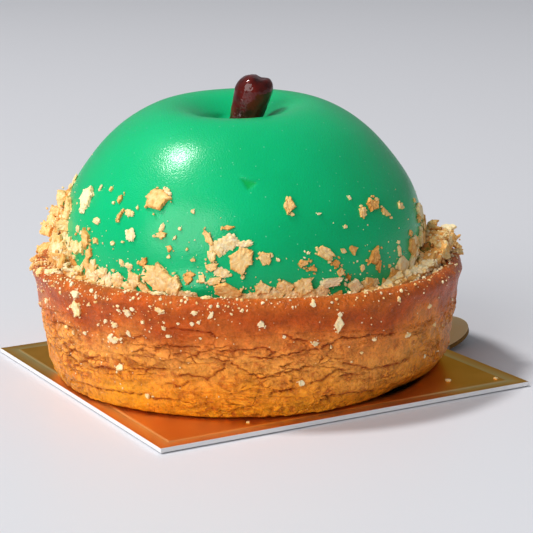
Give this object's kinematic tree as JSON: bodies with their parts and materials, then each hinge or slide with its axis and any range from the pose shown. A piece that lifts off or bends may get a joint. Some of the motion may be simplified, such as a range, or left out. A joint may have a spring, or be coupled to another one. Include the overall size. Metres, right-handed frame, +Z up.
{
  "type": "apple tart",
  "caption": "Small round pastry tart with a green glazed dome shaped like half an apple, a chocolate stem and crushed wafer, on a square gold card with a lift tab.",
  "frame": {"origin": "on the tart's axis, at the card's underside", "axes": "+Z up, +X towards the card's lift tab, X and Y along the card's edges"},
  "size_m": [0.0873, 0.08, 0.056],
  "materials": {
    "gold_card": "satin gold foil laminated on white board, white cut edges",
    "baked_pastry": "baked shortcrust, fine pored lip, cracked and flaky side",
    "green_glaze": "satin green mirror glaze over mousse, slightly grainy",
    "dark_chocolate": "glossy dark chocolate",
    "crushed_wafer": "dry crushed wafer flakes"
  },
  "bodies": {
    "root": {"cake_card": "gold_card", "tart_shell": "baked_pastry", "glazed_dome": "green_glaze", "stem": "dark_chocolate", "crumb_ring": "crushed_wafer"}
  },
  "joints": []
}
